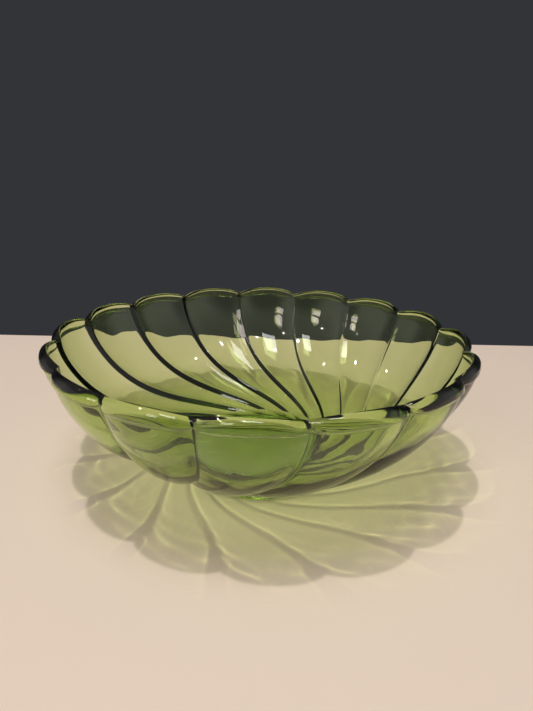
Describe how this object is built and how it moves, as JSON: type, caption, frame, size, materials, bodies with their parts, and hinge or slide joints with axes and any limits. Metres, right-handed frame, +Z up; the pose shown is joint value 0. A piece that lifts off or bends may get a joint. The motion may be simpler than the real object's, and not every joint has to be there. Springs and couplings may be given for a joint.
{
  "type": "glass serving bowl",
  "caption": "Round pressed-glass serving bowl in clear olive green, with swirled petals, a scalloped rim with a thick rounded bead, and a low foot ring.",
  "frame": {"origin": "on the bowl's axis, in the plane of the foot ring's resting face", "axes": "+Z up along the bowl's axis, out of its mouth; +X through the crown of a petal"},
  "size_m": [0.2192, 0.2192, 0.0783],
  "materials": {
    "green_glass": "fire-polished clear olive-green glass"
  },
  "bodies": {
    "root": {"bowl": "green_glass"}
  },
  "joints": []
}
